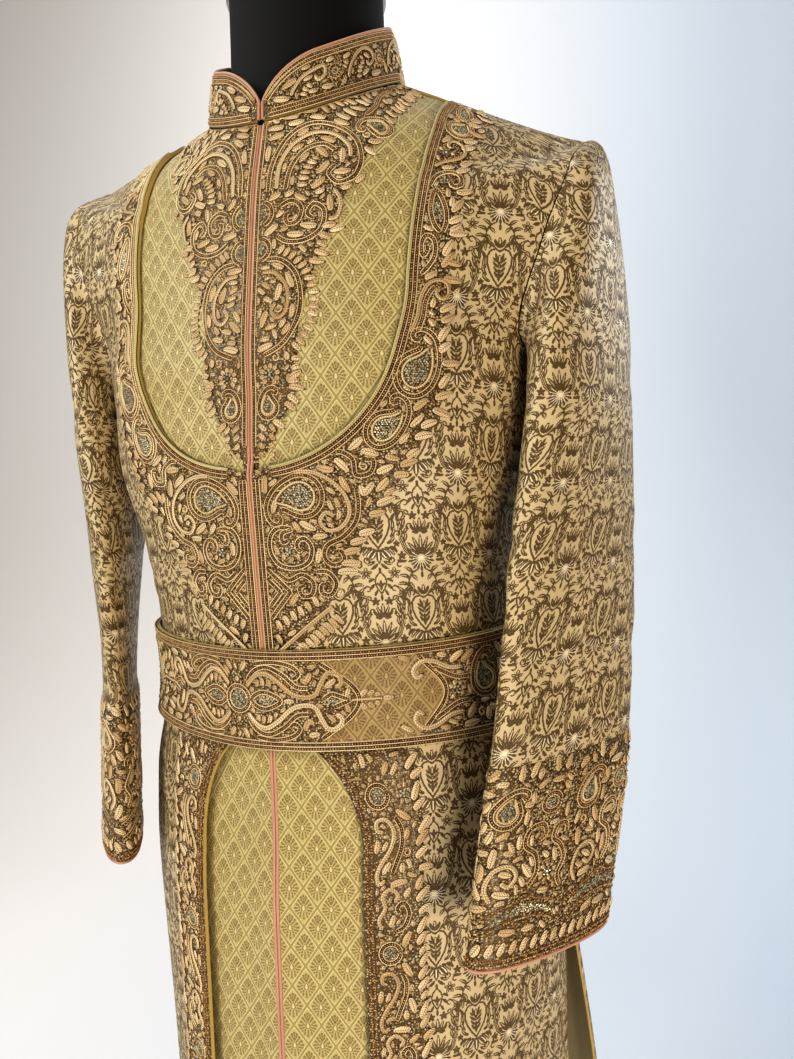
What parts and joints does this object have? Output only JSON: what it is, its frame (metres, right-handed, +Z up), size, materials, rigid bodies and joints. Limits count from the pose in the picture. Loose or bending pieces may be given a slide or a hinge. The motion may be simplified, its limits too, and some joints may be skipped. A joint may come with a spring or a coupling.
{
  "type": "sherwani coat on a limbless dress form",
  "caption": "Knee-length brocade coat with a stand collar, slim sleeves, a broad belt and corded borders, standing on a limbless dress form with a pole and round base.",
  "frame": {"origin": "middle of the round base's underside, on the floor", "axes": "+Z up, the height; -Y the coat's front; +X the wearer's left; metres"},
  "size_m": [0.524, 0.38, 1.5795],
  "materials": {
    "damask_brocade": "silk damask, beige ground with brown figures, soft sheen",
    "lattice_brocade": "golden silk brocade with a woven diamond lattice",
    "worked_brocade": "brocade under dense metal-thread cord, leaf and bead work",
    "rose_piping": "dusty rose satin piping",
    "black_cover": "matte black jersey cover",
    "brushed_metal": "brushed steel"
  },
  "bodies": {
    "root": {"back": "damask_brocade", "front_left": "damask_brocade", "front_right": "damask_brocade", "sleeve_under_left": "damask_brocade", "sleeve_under_right": "damask_brocade", "sleeve_upper_left": "damask_brocade", "sleeve_upper_right": "damask_brocade", "inset_left": "lattice_brocade", "inset_right": "lattice_brocade", "skirt_panel_left": "lattice_brocade", "skirt_panel_right": "lattice_brocade", "belt": "worked_brocade", "collar": "worked_brocade", "collar_piping": "rose_piping", "cuff_piping_left": "rose_piping", "cuff_piping_right": "rose_piping", "front_piping_left": "rose_piping", "front_piping_right": "rose_piping", "form_torso": "black_cover", "form_base": "brushed_metal", "form_neck_cap": "brushed_metal", "form_pole": "brushed_metal"}
  },
  "joints": []
}
